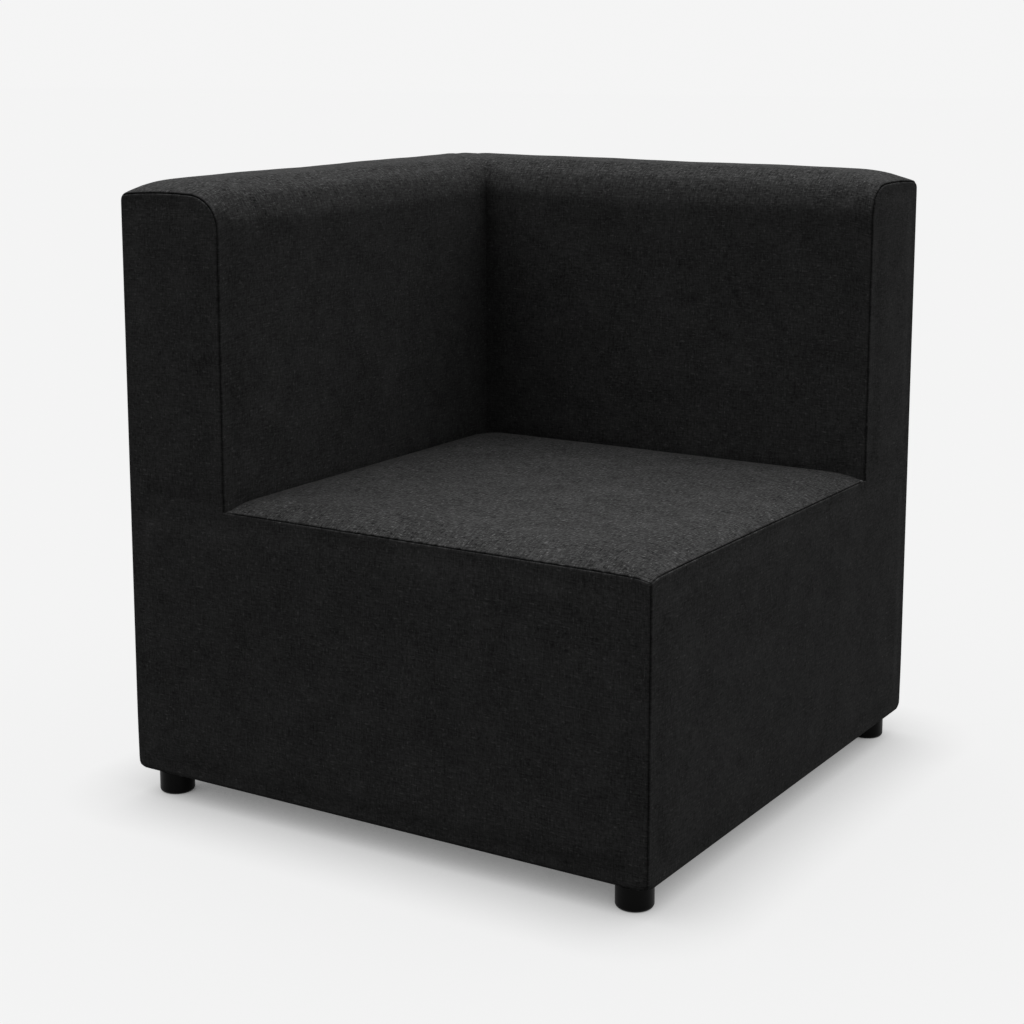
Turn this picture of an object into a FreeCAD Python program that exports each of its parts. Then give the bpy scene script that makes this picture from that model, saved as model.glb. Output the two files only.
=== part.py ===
import FreeCAD, Part
import math
import os

# A corner unit of a modular sofa: a low upholstered box seat with two upright walls of one thickness
# that meet at the back left corner. The seat is open to the front (-Y) and to the right (+X).
# Millimetres, +Z up, origin on the floor under the middle of the footprint.

V = FreeCAD.Vector

# Overall sizes over the fabric
width = 800.0                 # along X
depth = 800.0                 # along Y
wall_thickness = 166.0        # both upright walls
underside_height = 36.0       # floor to the dust cover, the height of the feet
seat_seam_height = 418.0      # floor to the seam along the open edges of the seat
wall_end_crest = 836.0        # floor to the top of a wall at its open end

# Form of the upholstery
seat_crown = 13.0             # middle of the seat above the seam
seat_rolloff = 58.0           # width over which the seat rises from an open edge
seat_tuck_rolloff = 44.0      # width over which the seat falls again towards a wall
seat_tuck_drop = 7.0          # fall of the seat at a wall
flat_rise = 0.6               # curve of the seat's wide middle
wall_crown = 8.0              # middle of a wall's top above its two edges
wall_end_rise = 10.0          # rise of a wall's top behind its end seam
wall_end_rolloff = 70.0       # width over which it rises
wall_corner_rise = 6.0        # further rise from there to the back corner
outer_edge_radius = 12.0      # outer top edge of a wall
inner_edge_radius = 50.0      # inner top edge of a wall

# Where the curved pieces are given their sections, as shares of the roll-off widths
wall_end_shares = (0.2, 0.4, 0.65, 1.0)
seat_front_shares = (0.1, 0.25, 0.45, 0.7, 1.0)
seat_tuck_shares = (1.0, 0.6, 0.3)

# Layers
fabric = 1.5                  # cover thickness
ease = 0.3                    # room between the cover and the padding
side_pad = 6.0                # thin foam over the outer faces
inner_foam = 40.0             # foam on the inner faces of the walls
topper = 15.0                 # soft layer under the seat cover
seat_core = 104.0             # firm seat foam under the topper, at the open edges
insulator = 4.0               # felt between springs and foam
top_foam_base = 8.0           # straight part of a wall's top foam below its rounded inner edge
dust_cover = 0.8              # nonwoven sheet under the base
dust_cover_inset = 11.0
hem = 26.0                    # width of the cover turned under the base

# Timber frame
board = 18.0
outside_board = 3.0           # hardboard on the outer faces of the walls
seat_rail_depth = 90.0        # depth of the two inner rails that carry the springs and walls
seat_rail_thickness = 40.0
cross_rail_depth = 60.0
corner_post = 60.0            # square post in the back corner
inner_post = 34.0             # square post behind the inner corner
corner_block = 96.0           # square block over each foot
corner_block_thickness = 25.0

# Webbing on the inner side of the walls
webbing = 1.5
webbing_width = 50.0
webbing_rows = 4

# Zigzag seat springs
spring_count = 5
spring_wire = 3.8
spring_width = 52.0           # across the loops, over the wire
spring_pitch = 26.0           # from one cross bar to the next
clip_plate = 1.2
clip_length = 14.0
clip_width = 20.0
spring_slack = 0.15           # room for the wire in its clip

# Feet and their hardware
foot_diameter = 48.0
foot_neck_diameter = 44.0
foot_neck = 5.0
foot_edge_radius = 5.0
foot_inset = 38.0             # outer face of the sofa to the axis of a foot
stud_diameter = 8.0
stud_in_foot = 22.0
nut_barrel_diameter = 10.0
nut_barrel = 12.0
nut_flange_diameter = 20.0
nut_flange = 1.5
thread_room = 0.1             # radial room round studs, nuts and screws

# Wood screws of the base
screw_diameter = 4.5
screw_head_diameter = 9.0
screw_length = 60.0
screw_end_margin = 45.0       # from a rail's edge to its screws

# Places that follow from the sizes above
x_left = -width / 2
x_right = width / 2
y_front = -depth / 2
y_back = depth / 2
x_wall = x_left + wall_thickness
y_wall = y_back - wall_thickness
skin = fabric + ease
outer_layer = skin + side_pad
cover_bottom = underside_height + dust_cover
frame_bottom = cover_bottom + fabric
topper_bottom = seat_seam_height - skin - topper
deck = topper_bottom - seat_core
clip_height = spring_wire + 2 * spring_slack + 2 * clip_plate
rail_top = deck - insulator - clip_height
rib_inner = wall_thickness - skin - inner_foam - webbing
rib_outer = outer_layer + outside_board
seat_rail_outer = rib_inner - board
seat_rail_middle = seat_rail_outer + seat_rail_thickness / 2
crown_radius = (wall_thickness ** 2 / 4 + wall_crown ** 2) / (2 * wall_crown)


class Wall:
    """An upright wall: u runs along it from its open end to the back corner, and v across it from its
    outer face to its inner face."""

    def __init__(self, name, length, start, along, across):
        self.name = name
        self.length = length
        self.start = start
        self.along = along
        self.across = across

    def point(self, u, v, z):
        return self.start + self.along * u + self.across * v + V(0, 0, z)

    def box(self, u, v, z):
        return box_between(self.point(u[0], v[0], z[0]), self.point(u[1], v[1], z[1]))


LEFT = Wall("left", depth, V(x_left, y_front, 0), V(0, 1, 0), V(1, 0, 0))
BACK = Wall("back", width, V(x_right, y_back, 0), V(-1, 0, 0), V(0, -1, 0))
WALLS = (LEFT, BACK)


def box_between(a, b):
    low = V(min(a.x, b.x), min(a.y, b.y), min(a.z, b.z))
    return Part.makeBox(abs(b.x - a.x), abs(b.y - a.y), abs(b.z - a.z), low)


def line(a, b):
    return Part.LineSegment(a, b).toShape()


def arc(a, middle, b):
    return Part.Arc(a, middle, b).toShape()


def cut_all(shape, tools):
    for tool in tools:
        shape = shape.cut(tool)
    return shape


# Cross-section of a wall

def crest(wall, u):
    """Height of a wall's top line at the distance u from its open end."""
    towards_full = min(u / wall_end_rolloff, 1.0)
    end_rise = wall_end_rise * (1 - (1 - towards_full) ** 2)
    return wall_end_crest + end_rise + wall_corner_rise * u / wall.length


def edge_centres(top):
    """Centres of the crown's arc and of the two rounded top edges' arcs, as (v, z), for a wall with this
    top."""
    crown = (wall_thickness / 2, top - crown_radius)

    def edge_centre(radius, v):
        rise = math.sqrt((crown_radius - radius) ** 2 - (v - crown[0]) ** 2)
        return (v, crown[1] + rise)

    outer = edge_centre(outer_edge_radius, outer_edge_radius)
    inner = edge_centre(inner_edge_radius, wall_thickness - inner_edge_radius)
    return crown, outer, inner


def around(centre, radius, angle):
    return (centre[0] + radius * math.cos(angle), centre[1] + radius * math.sin(angle))


def wall_curve(top, inset):
    """Seven (v, z) points over a wall's top, from its outer face to its inner face: the ends and middles of
    the outer edge's arc, the crown's arc and the inner edge's arc, all set in by inset."""
    crown, outer, inner = edge_centres(top)
    outer_angle = math.atan2(outer[1] - crown[1], outer[0] - crown[0])
    inner_angle = math.atan2(inner[1] - crown[1], inner[0] - crown[0])
    return [
        (inset, outer[1]),
        around(outer, outer_edge_radius - inset, (math.pi + outer_angle) / 2),
        around(crown, crown_radius - inset, outer_angle),
        around(crown, crown_radius - inset, (outer_angle + inner_angle) / 2),
        around(crown, crown_radius - inset, inner_angle),
        around(inner, inner_edge_radius - inset, inner_angle / 2),
        (wall_thickness - inset, inner[1]),
    ]


def wall_arcs(wall, u, curve):
    places = [wall.point(u, v, z) for v, z in curve]
    return [arc(places[i], places[i + 1], places[i + 2]) for i in (0, 2, 4)]


frame_top = edge_centres(wall_end_crest)[2][1] - top_foam_base


def closed_wire(wall, u, corners, curve, inner_curve=None):
    """A closed section of a wall at u. corners are the (v, z) points that lead from the curve's end back to
    its start; with inner_curve, the section is a strip between the two curves."""
    edges = wall_arcs(wall, u, curve)
    if inner_curve is None:
        path = [curve[-1]] + corners + [curve[0]]
        places = [wall.point(u, v, z) for v, z in path]
        edges += [line(a, b) for a, b in zip(places, places[1:])]
        return Part.Wire(edges)
    down = [curve[-1]] + corners[0] + [inner_curve[-1]]
    up = [inner_curve[0]] + corners[1] + [curve[0]]
    places = [wall.point(u, v, z) for v, z in down]
    edges += [line(a, b) for a, b in zip(places, places[1:])]
    edges += wall_arcs(wall, u, inner_curve[::-1])
    places = [wall.point(u, v, z) for v, z in up]
    edges += [line(a, b) for a, b in zip(places, places[1:])]
    return Part.Wire(edges)


def stations(wall, start):
    """Distances along a wall at which its soft top is given a section. Past the roll-off it rises evenly."""
    return [start] + [wall_end_rolloff * share for share in wall_end_shares] + [wall.length]


def mitred(wall, shape, room):
    """Ends a wall's soft piece on the vertical plane through the inner and the outer back corner, less the
    room left along the wall. The part kept is bounded well outside the wall on the other sides."""
    beyond = 2 * wall_thickness
    far_outside = (wall.length + beyond - room, -beyond)
    far_inside = (wall.length - beyond - room, beyond)
    corners = [(-beyond, -beyond), far_outside, far_inside, (-beyond, beyond)]
    places = [wall.point(u, v, 0) for u, v in corners]
    outline = Part.makePolygon(places + places[:1])
    keep = Part.Face(outline).extrude(V(0, 0, 2 * wall_end_crest))
    return shape.common(keep)


# Soft pieces of the walls

def wall_cover(wall):
    """Fabric over the inner face, the top and the outer face, tucked in at the seat and turned under the
    base."""
    wires = []
    for u in stations(wall, fabric):
        outside = wall_curve(crest(wall, u), 0)
        inside = wall_curve(crest(wall, u), fabric)
        down = [(wall_thickness, topper_bottom), (wall_thickness - fabric, topper_bottom)]
        up = [(fabric, cover_bottom), (0, cover_bottom)]
        wires.append(closed_wire(wall, u, (down, up), outside, inside))
    cover = mitred(wall, Part.makeLoft(wires, True, True), 0)
    start = fabric + hem
    end = wall.length - hem - fabric
    turned = wall.box((start, end), (fabric / 2, hem), (cover_bottom, frame_bottom))
    return cover.fuse(turned).removeSplitter()


def wall_top_foam(wall):
    wires = []
    for u in stations(wall, outer_layer):
        curve = wall_curve(crest(wall, u), skin)
        corners = [(wall_thickness - skin, frame_top), (skin, frame_top)]
        wires.append(closed_wire(wall, u, corners, curve))
    return mitred(wall, Part.makeLoft(wires, True, True), ease)


def wall_inner_foam(wall):
    v = (rib_inner + webbing, wall_thickness - skin)
    slab = wall.box((outer_layer, wall.length), v, (deck, frame_top))
    return mitred(wall, slab, ease)


def wall_end_pad(wall):
    """Thin foam over a wall's open end, above the pad of the base."""
    curve = wall_curve(crest(wall, 0), skin)
    corners = [(wall_thickness - skin, topper_bottom), (skin, topper_bottom)]
    face = Part.Face(closed_wire(wall, skin, corners, curve))
    return face.extrude(wall.along * side_pad)


def wall_outside_pad(wall):
    """Thin foam over a wall's outer face, from the base to the top foam."""
    far = wall.length - (skin if wall is LEFT else outer_layer)
    return wall.box((outer_layer, far), (skin, outer_layer), (frame_bottom, frame_top))


def base_pad(wall, far):
    """Thin foam over an open face of the base, under the topper."""
    return wall.box((skin, outer_layer), (skin, far), (frame_bottom, topper_bottom))


def end_panel(wall, far):
    """Fabric of a whole open face: the end of the wall and the base beside it in one L-shaped piece,
    turned under the base."""
    curve = wall_curve(crest(wall, 0), 0)
    top = seat_seam_height - fabric
    corners = [(wall_thickness, top), (far, top), (far, cover_bottom), (0, cover_bottom)]
    return Part.Face(closed_wire(wall, 0, corners, curve)).extrude(wall.along * fabric)


# Soft pieces of the seat

def rounded_fall(share, width_of_fall, fall):
    """Depth below the top of an arc that starts level and falls by fall over its width, at a share of it."""
    radius = (width_of_fall ** 2 + fall ** 2) / (2 * fall)
    return radius - math.sqrt(radius ** 2 - (share * width_of_fall) ** 2)


def seat_crown_at(y):
    """Height of the seat's middle above the seam, for the X section at y."""
    to_front = 1 - min((y - y_front) / seat_rolloff, 1.0)
    to_wall = 1 - min((y_wall - y) / seat_tuck_rolloff, 1.0)
    fall = rounded_fall(to_front, seat_rolloff, seat_crown)
    return seat_crown + flat_rise - fall - rounded_fall(to_wall, seat_tuck_rolloff, seat_tuck_drop)


def seat_line(y, inset, right):
    """Seven points along X over the seat at y, from the left wall to the X place right, set down by inset."""
    crown = seat_crown_at(y)
    drop = seat_tuck_drop * crown / seat_crown
    left = x_wall + ease
    level_left = left + seat_tuck_rolloff
    level_right = x_right - seat_rolloff
    share = (right - level_right) / seat_rolloff
    low_left = rounded_fall(0.5, seat_tuck_rolloff, drop)
    heights = [
        (left, crown - drop),
        ((left + level_left) / 2, crown - low_left),
        (level_left, crown),
        ((level_left + level_right) / 2, crown + flat_rise),
        (level_right, crown),
        ((level_right + right) / 2, crown - rounded_fall(share / 2, seat_rolloff, crown)),
        (right, crown - rounded_fall(share, seat_rolloff, crown)),
    ]
    return [V(x, y, seat_seam_height - inset + z) for x, z in heights]


def seat_stations(start):
    """Y places at which the seat is given a section."""
    front = [y_front + seat_rolloff * share for share in seat_front_shares]
    back = [y_wall - seat_tuck_rolloff * share for share in seat_tuck_shares]
    return [start] + front + back + [y_wall - ease]


def seat_layer(upper, lower, margin):
    """A layer of the seat between two depths below the fabric's face. Without lower it stands on the deck.
    margin is how far it keeps from the two open faces."""
    right = x_right - margin
    wires = []
    for y in seat_stations(y_front + margin):
        top = seat_line(y, upper, right)
        edges = [arc(top[i], top[i + 1], top[i + 2]) for i in (0, 2, 4)]
        if lower is None:
            low = [V(top[6].x, y, deck), V(top[0].x, y, deck)]
            edges += [line(top[6], low[0]), line(low[0], low[1]), line(low[1], top[0])]
        else:
            low = seat_line(y, lower, right)
            edges.append(line(top[6], low[6]))
            edges += [arc(low[i + 2], low[i + 1], low[i]) for i in (4, 2, 0)]
            edges.append(line(low[0], top[0]))
        wires.append(Part.Wire(edges))
    return Part.makeLoft(wires, True, True)


def make_insulator():
    low = V(x_wall + ease, y_front + outer_layer, deck - insulator)
    return box_between(low, V(x_right - outer_layer, y_wall - ease, deck))


# Timber frame

def make_screw(head, direction, room):
    """A countersunk wood screw whose head ends flush at the point head."""
    sink = (screw_head_diameter - screw_diameter) / 2
    cone = Part.makeCone(screw_head_diameter / 2 + room, screw_diameter / 2 + room, sink, head, direction)
    shank = Part.makeCylinder(screw_diameter / 2 + room, screw_length + room, head, direction)
    return cone.fuse(shank).removeSplitter()


def screw_places():
    """Head and direction of each screw, driven through the front, back and right rails into the ends of
    the boards that meet them."""
    low = frame_bottom + screw_end_margin
    high = rail_top - screw_end_margin
    seat_rail = x_left + seat_rail_middle
    seat_rail_y = y_back - seat_rail_middle
    rail_middle = rail_top - seat_rail_depth / 2
    side_left = x_left + outer_layer + board / 2
    side_right = x_right - outer_layer - board / 2
    spots = [(side_left, low), (side_left, high), (side_right, low), (side_right, high)]
    spots += [(seat_rail, rail_middle), (cross_rail_x(), frame_bottom + cross_rail_depth / 2)]
    places = []
    for x, z in spots:
        places.append((V(x, y_front + outer_layer, z), V(0, 1, 0)))
        places.append((V(x, y_back - outer_layer, z), V(0, -1, 0)))
    places.append((V(x_right - outer_layer, seat_rail_y, rail_middle), V(-1, 0, 0)))
    return places


def cross_rail_x():
    return (x_left + rib_inner + x_right - outer_layer - board) / 2 + spring_width / 2


def make_screws(room):
    return [make_screw(head, direction, room) for head, direction in screw_places()]


def long_rail(wall_side):
    """Front or back board of the base, as long as the base is wide."""
    near = y_front + outer_layer if wall_side == "front" else y_back - outer_layer - board
    low = V(x_left + outer_layer, near, frame_bottom)
    return box_between(low, V(x_right - outer_layer, near + board, rail_top))


def side_rail(near):
    """Left or right board of the base, between the front and the back board."""
    y = (y_front + outer_layer + board, y_back - outer_layer - board)
    return box_between(V(near, y[0], frame_bottom), V(near + board, y[1], rail_top))


def seat_rail_left():
    y = (y_front + outer_layer + board, y_back - outer_layer - board)
    x = x_left + seat_rail_outer
    low = V(x, y[0], rail_top - seat_rail_depth)
    return box_between(low, V(x + seat_rail_thickness, y[1], rail_top))


def seat_rail_back():
    y = y_back - seat_rail_outer
    left = x_left + seat_rail_outer + seat_rail_thickness
    right = x_right - outer_layer - board
    low = V(left, y - seat_rail_thickness, rail_top - seat_rail_depth)
    return box_between(low, V(right, y, rail_top))


def cross_rail():
    y = (y_front + outer_layer + board, y_back - outer_layer - board)
    x = cross_rail_x()
    low = V(x - board / 2, y[0], frame_bottom)
    return box_between(low, V(x + board / 2, y[1], frame_bottom + cross_rail_depth))


def wall_rib(wall, start):
    """An upright board across a wall, on the rails of the base."""
    return wall.box((start, start + board), (rib_outer, rib_inner), (rail_top, frame_top - board))


def middle_rib_start(wall):
    clear_start = outer_layer + board
    clear_end = wall.length - rib_inner
    return (clear_start + clear_end - board) / 2


def wall_top_board(wall):
    """Flat board over the ribs. The left one runs to the back face, and the back one ends against it."""
    far = wall.length - (outer_layer if wall is LEFT else rib_inner)
    return wall.box((outer_layer, far), (outer_layer, rib_inner), (frame_top - board, frame_top))


def wall_outside_board(wall):
    far = wall.length - (outer_layer if wall is LEFT else rib_outer)
    return wall.box((outer_layer, far), (outer_layer, rib_outer), (rail_top, frame_top - board))


def back_corner_post():
    low = V(x_left + rib_outer, y_back - rib_outer - corner_post, rail_top)
    return box_between(low, low + V(corner_post, corner_post, frame_top - board - rail_top))


def inner_corner_post():
    low = V(x_left + rib_inner - inner_post, y_back - rib_inner, rail_top)
    return box_between(low, low + V(inner_post, inner_post, frame_top - board - rail_top))


def wall_webbing(wall):
    """Level straps over the inner edges of a wall's ribs."""
    first = deck + webbing_width
    last = frame_top - webbing_width
    step = (last - first) / (webbing_rows - 1)
    far = wall.length - rib_inner - (0 if wall is LEFT else webbing)
    straps = []
    for row in range(webbing_rows):
        z = first + row * step
        heights = (z - webbing_width / 2, z + webbing_width / 2)
        straps.append(wall.box((outer_layer, far), (rib_inner, rib_inner + webbing), heights))
    return Part.makeCompound(straps)


# Seat springs

def spring_x(index):
    low = x_wall
    high = x_right - outer_layer - board
    return low + (high - low) * (index + 0.5) / spring_count


def spring_rows():
    """Y of the first and last cross bar of each spring, over the front board and the back seat rail."""
    free_top = seat_rail_thickness - board
    return y_front + outer_layer + board / 2, y_back - rib_inner - free_top / 2


def seat_spring(index):
    """Zigzag wire: level cross bars joined by half turns."""
    first, last = spring_rows()
    bars = 2 * round((last - first) / spring_pitch / 2)
    pitch = (last - first) / bars
    turn = pitch / 2
    half = (spring_width - spring_wire) / 2 - turn
    x = spring_x(index)
    z = rail_top + clip_plate + spring_slack + spring_wire / 2
    edges = []
    for bar in range(bars + 1):
        side = 1 if bar % 2 == 0 else -1
        y = first + bar * pitch
        edges.append(line(V(x - side * half, y, z), V(x + side * half, y, z)))
        if bar < bars:
            start = V(x + side * half, y, z)
            middle = V(x + side * (half + turn), y + turn, z)
            edges.append(arc(start, middle, V(x + side * half, y + pitch, z)))
    path = Part.Wire(edges)
    section = Part.Wire(Part.makeCircle(spring_wire / 2, V(x - half, first, z), V(1, 0, 0)))
    return path.makePipeShell([section], True, False)


def spring_clip(x, y, facing):
    """Folded steel clip that holds a spring's end bar on a rail, open towards the seat's middle."""
    radius = spring_wire / 2 + spring_slack
    low = V(x - clip_width / 2, y - clip_length / 2, rail_top)
    body = Part.makeBox(clip_width, clip_length, clip_height, low)
    z = rail_top + clip_height / 2
    bed = Part.makeCylinder(radius, clip_width, V(x - clip_width / 2, y, z), V(1, 0, 0))
    mouth_low = V(x - clip_width / 2, y, z - radius)
    mouth_high = V(x + clip_width / 2, y + facing * clip_length, z + radius)
    return body.cut(bed.fuse(box_between(mouth_low, mouth_high)))


def spring_clips():
    first, last = spring_rows()
    clips = []
    for index in range(spring_count):
        clips.append(spring_clip(spring_x(index), first, 1))
        clips.append(spring_clip(spring_x(index), last, -1))
    return Part.makeCompound(clips)


# Feet

def foot_axes():
    """Name, X and Y of each foot's axis."""
    x = width / 2 - foot_inset
    y = depth / 2 - foot_inset
    return [("front_left", -x, -y), ("front_right", x, -y), ("back_left", -x, y), ("back_right", x, y)]


def foot(x, y):
    """Turned plastic foot with a rounded lower edge and a narrower neck, bored for its stud."""
    foot_radius = foot_diameter / 2
    neck_radius = foot_neck_diameter / 2
    shoulder = underside_height - foot_neck
    middle = foot_edge_radius * (1 - math.sqrt(0.5))
    low = V(foot_radius - foot_edge_radius, 0, 0)
    bend = V(foot_radius - middle, 0, middle)
    high = V(foot_radius, 0, foot_edge_radius)
    corners = [high, V(foot_radius, 0, shoulder), V(neck_radius, 0, shoulder)]
    corners += [V(neck_radius, 0, underside_height), V(0, 0, underside_height), V(0, 0, 0), low]
    edges = [arc(low, bend, high)] + [line(a, b) for a, b in zip(corners, corners[1:])]
    body = Part.Face(Part.Wire(edges)).revolve(V(0, 0, 0), V(0, 0, 1), 360)
    bore_depth = stud_in_foot + thread_room
    bore_low = V(0, 0, underside_height - bore_depth)
    body = body.cut(Part.makeCylinder(stud_diameter / 2 + thread_room, bore_depth, bore_low))
    body.translate(V(x, y, 0))
    return body


def stud(x, y):
    low = underside_height - stud_in_foot
    high = frame_bottom + corner_block_thickness + nut_flange
    return Part.makeCylinder(stud_diameter / 2, high - low, V(x, y, low))


def t_nut(x, y, room):
    """Flanged nut let into the top of a corner block."""
    top = frame_bottom + corner_block_thickness
    low = V(x, y, top - nut_barrel - room)
    barrel = Part.makeCylinder(nut_barrel_diameter / 2 + room, nut_barrel + room, low)
    flange = Part.makeCylinder(nut_flange_diameter / 2, nut_flange, V(x, y, top))
    return barrel.fuse(flange)


def foot_block(x, y):
    """Block in a corner of the base that takes a foot's stud."""
    side_x = math.copysign(1, x)
    side_y = math.copysign(1, y)
    rail_inside = outer_layer + board
    corner = V(side_x * (width / 2 - rail_inside), side_y * (depth / 2 - rail_inside), frame_bottom)
    far = corner - V(side_x * corner_block, side_y * corner_block, -corner_block_thickness)
    block = box_between(corner, far)
    hole = Part.makeCylinder(stud_diameter / 2 + thread_room, corner_block_thickness, V(x, y, frame_bottom))
    return block.cut(hole).cut(t_nut(x, y, thread_room))


def make_dust_cover():
    low = V(x_left + dust_cover_inset, y_front + dust_cover_inset, underside_height)
    sheet = box_between(low, V(x_right - dust_cover_inset, y_back - dust_cover_inset, cover_bottom))
    radius = stud_diameter / 2 + thread_room
    for name, x, y in foot_axes():
        sheet = sheet.cut(Part.makeCylinder(radius, dust_cover, V(x, y, underside_height)))
    return sheet


def turned_under(panel, low, high):
    """Joins the strip of fabric that is folded under the base to a panel."""
    return panel.fuse(box_between(low, high)).removeSplitter()


def front_panel():
    low = V(x_left + fabric, y_front + fabric / 2, cover_bottom)
    high = V(x_right - fabric, y_front + hem, frame_bottom)
    return turned_under(end_panel(LEFT, width), low, high)


def right_panel():
    low = V(x_right - hem, y_front + hem + fabric, cover_bottom)
    high = V(x_right - fabric / 2, y_back - fabric, frame_bottom)
    return turned_under(end_panel(BACK, depth - fabric), low, high)


def all_nodes():
    screw_holes = make_screws(thread_room)
    nodes = {}
    for name, x, y in foot_axes():
        nodes["foot_" + name] = foot(x, y)
        nodes["foot_block_" + name] = foot_block(x, y)
    nodes["foot_studs"] = Part.makeCompound([stud(x, y) for name, x, y in foot_axes()])
    nuts = []
    for name, x, y in foot_axes():
        bore_length = corner_block_thickness + nut_flange
        bore = Part.makeCylinder(stud_diameter / 2, bore_length, V(x, y, frame_bottom))
        nuts.append(t_nut(x, y, 0).cut(bore))
    nodes["foot_t_nuts"] = Part.makeCompound(nuts)

    nodes["base_board_front"] = cut_all(long_rail("front"), screw_holes)
    nodes["base_board_back"] = cut_all(long_rail("back"), screw_holes)
    nodes["base_board_left"] = cut_all(side_rail(x_left + outer_layer), screw_holes)
    nodes["base_board_right"] = cut_all(side_rail(x_right - outer_layer - board), screw_holes)
    nodes["base_cross_rail"] = cut_all(cross_rail(), screw_holes)
    nodes["seat_rail_left"] = cut_all(seat_rail_left(), screw_holes)
    nodes["seat_rail_back"] = cut_all(seat_rail_back(), screw_holes)
    nodes["frame_screws"] = Part.makeCompound(make_screws(0))

    for wall in WALLS:
        nodes[wall.name + "_wall_end_rib"] = wall_rib(wall, outer_layer)
        nodes[wall.name + "_wall_middle_rib"] = wall_rib(wall, middle_rib_start(wall))
        nodes[wall.name + "_wall_top_board"] = wall_top_board(wall)
        nodes[wall.name + "_wall_outside_board"] = wall_outside_board(wall)
        nodes[wall.name + "_wall_webbing"] = wall_webbing(wall)
        nodes[wall.name + "_wall_inner_foam"] = wall_inner_foam(wall)
        nodes[wall.name + "_wall_top_foam"] = wall_top_foam(wall)
        nodes[wall.name + "_wall_end_pad"] = wall_end_pad(wall)
        nodes[wall.name + "_wall_outside_pad"] = wall_outside_pad(wall)
        nodes[wall.name + "_wall_cover"] = wall_cover(wall)
    nodes["back_corner_post"] = back_corner_post()
    nodes["inner_corner_post"] = inner_corner_post()

    for index in range(spring_count):
        nodes["seat_spring_" + str(index + 1)] = seat_spring(index)
    nodes["spring_clips"] = spring_clips()
    nodes["seat_insulator"] = make_insulator()
    nodes["seat_foam_core"] = seat_layer(skin + topper, None, outer_layer)
    nodes["seat_foam_topper"] = seat_layer(skin, skin + topper, skin)
    nodes["base_pad_front"] = base_pad(LEFT, width - skin)
    nodes["base_pad_right"] = base_pad(BACK, depth - outer_layer)
    nodes["seat_cover"] = seat_layer(0, fabric, 0)
    nodes["front_panel_cover"] = front_panel()
    nodes["right_panel_cover"] = right_panel()
    nodes["dust_cover"] = make_dust_cover()
    return nodes


os.makedirs("parts", exist_ok=True)
for node_name, shape in all_nodes().items():
    shape.exportStep(os.path.join("parts", node_name + ".step"))
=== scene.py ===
import math

import bmesh
import bpy
import numpy as np
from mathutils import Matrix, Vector, kdtree


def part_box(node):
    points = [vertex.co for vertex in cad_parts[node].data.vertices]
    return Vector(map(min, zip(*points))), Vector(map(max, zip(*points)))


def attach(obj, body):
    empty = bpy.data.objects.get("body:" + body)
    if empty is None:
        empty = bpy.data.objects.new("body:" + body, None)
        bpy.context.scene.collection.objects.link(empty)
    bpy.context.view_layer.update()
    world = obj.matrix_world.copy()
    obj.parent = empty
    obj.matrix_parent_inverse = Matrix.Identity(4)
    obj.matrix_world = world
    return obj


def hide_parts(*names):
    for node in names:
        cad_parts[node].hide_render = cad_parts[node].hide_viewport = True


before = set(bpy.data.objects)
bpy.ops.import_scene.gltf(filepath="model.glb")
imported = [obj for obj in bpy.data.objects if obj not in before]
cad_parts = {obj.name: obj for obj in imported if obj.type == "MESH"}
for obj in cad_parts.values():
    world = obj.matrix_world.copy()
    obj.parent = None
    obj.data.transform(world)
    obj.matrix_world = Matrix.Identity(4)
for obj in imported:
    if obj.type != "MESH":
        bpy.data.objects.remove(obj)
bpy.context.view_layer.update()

# A charcoal upholstered corner unit: a box seat with two upright walls that meet at the back left corner.
# Metres, +Z up, origin on the floor under the middle of the footprint.

# Sizes of the upholstery, over the fabric
HALF = 0.4  # half of the footprint's side
WALL = 0.166  # thickness of both walls
BOTTOM = 0.0368  # underside of the fabric
FRAME_BOTTOM = 0.0383  # underside of the timber
SEAM = 0.418  # seam along the open edges of the seat
CREST = 0.836  # top of a wall at its open end
END_RISE = 0.010  # rise of a wall's top behind its end seam
END_ROLL = 0.070  # width over which it rises
CORNER_RISE = 0.006  # further rise to the back corner
CROWN = 0.008  # middle of a wall's top above its edges
CROWN_RADIUS = (WALL ** 2 / 4 + CROWN ** 2) / (2 * CROWN)
OUTER_RADIUS = 0.012  # outer top edge of a wall
INNER_RADIUS = 0.050  # inner top edge of a wall
FOLD = 0.005  # fabric's bend at the bottom edge
HEM = 0.026  # width turned under the base
LAYER = 0.0076  # fabric and pad over an outer face
INNER_LAYER = 0.0418  # fabric and foam on a wall's inner face
TOPPER_BOTTOM = 0.4012  # lower end of the walls' inner faces
DECK = 0.2974  # underside of the seat foam
FRAME_TOP = 0.7768  # top of the timber in the walls
SEAT_CROWN = 0.013  # middle of the seat above its seam
SEAT_ROLL = 0.058  # width over which the seat falls to its open edges
SEAT_TUCK = 0.044  # width over which it falls to the walls
SEAT_TUCK_DROP = 0.007  # how far it falls there
SEAT_BEND = 0.0075  # radius of its bend down behind a wall's foam
FLAT_RISE = 0.0006  # further rise in the middle of its flat part
COVER_INSET = 0.011  # dust cover from the outer faces
CORNER_DIP = 0.0032  # the seam's fall at the front corner of the seat
DIP_REACH = 0.013
DIP_SPREAD = 0.05  # reach of its softer outer part
END_FLATTER = 0.0035  # less crown at a wall's open end
PUCKER = 0.0017  # small gathers along the seat's seams
GATHERS = 46
GATHER_SPAN = 0.64  # part of a seam that has them
WALL_UNEVEN = 0.0006  # ripple of the padding in the walls, the panels and the seat
PANEL_UNEVEN = 0.0007
SEAT_UNEVEN = 0.0006
UNEVEN_FADE = 0.05  # distance from a seam over which the ripple grows to its full size
SEAT_UNEVEN_FADE = 0.06
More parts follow.
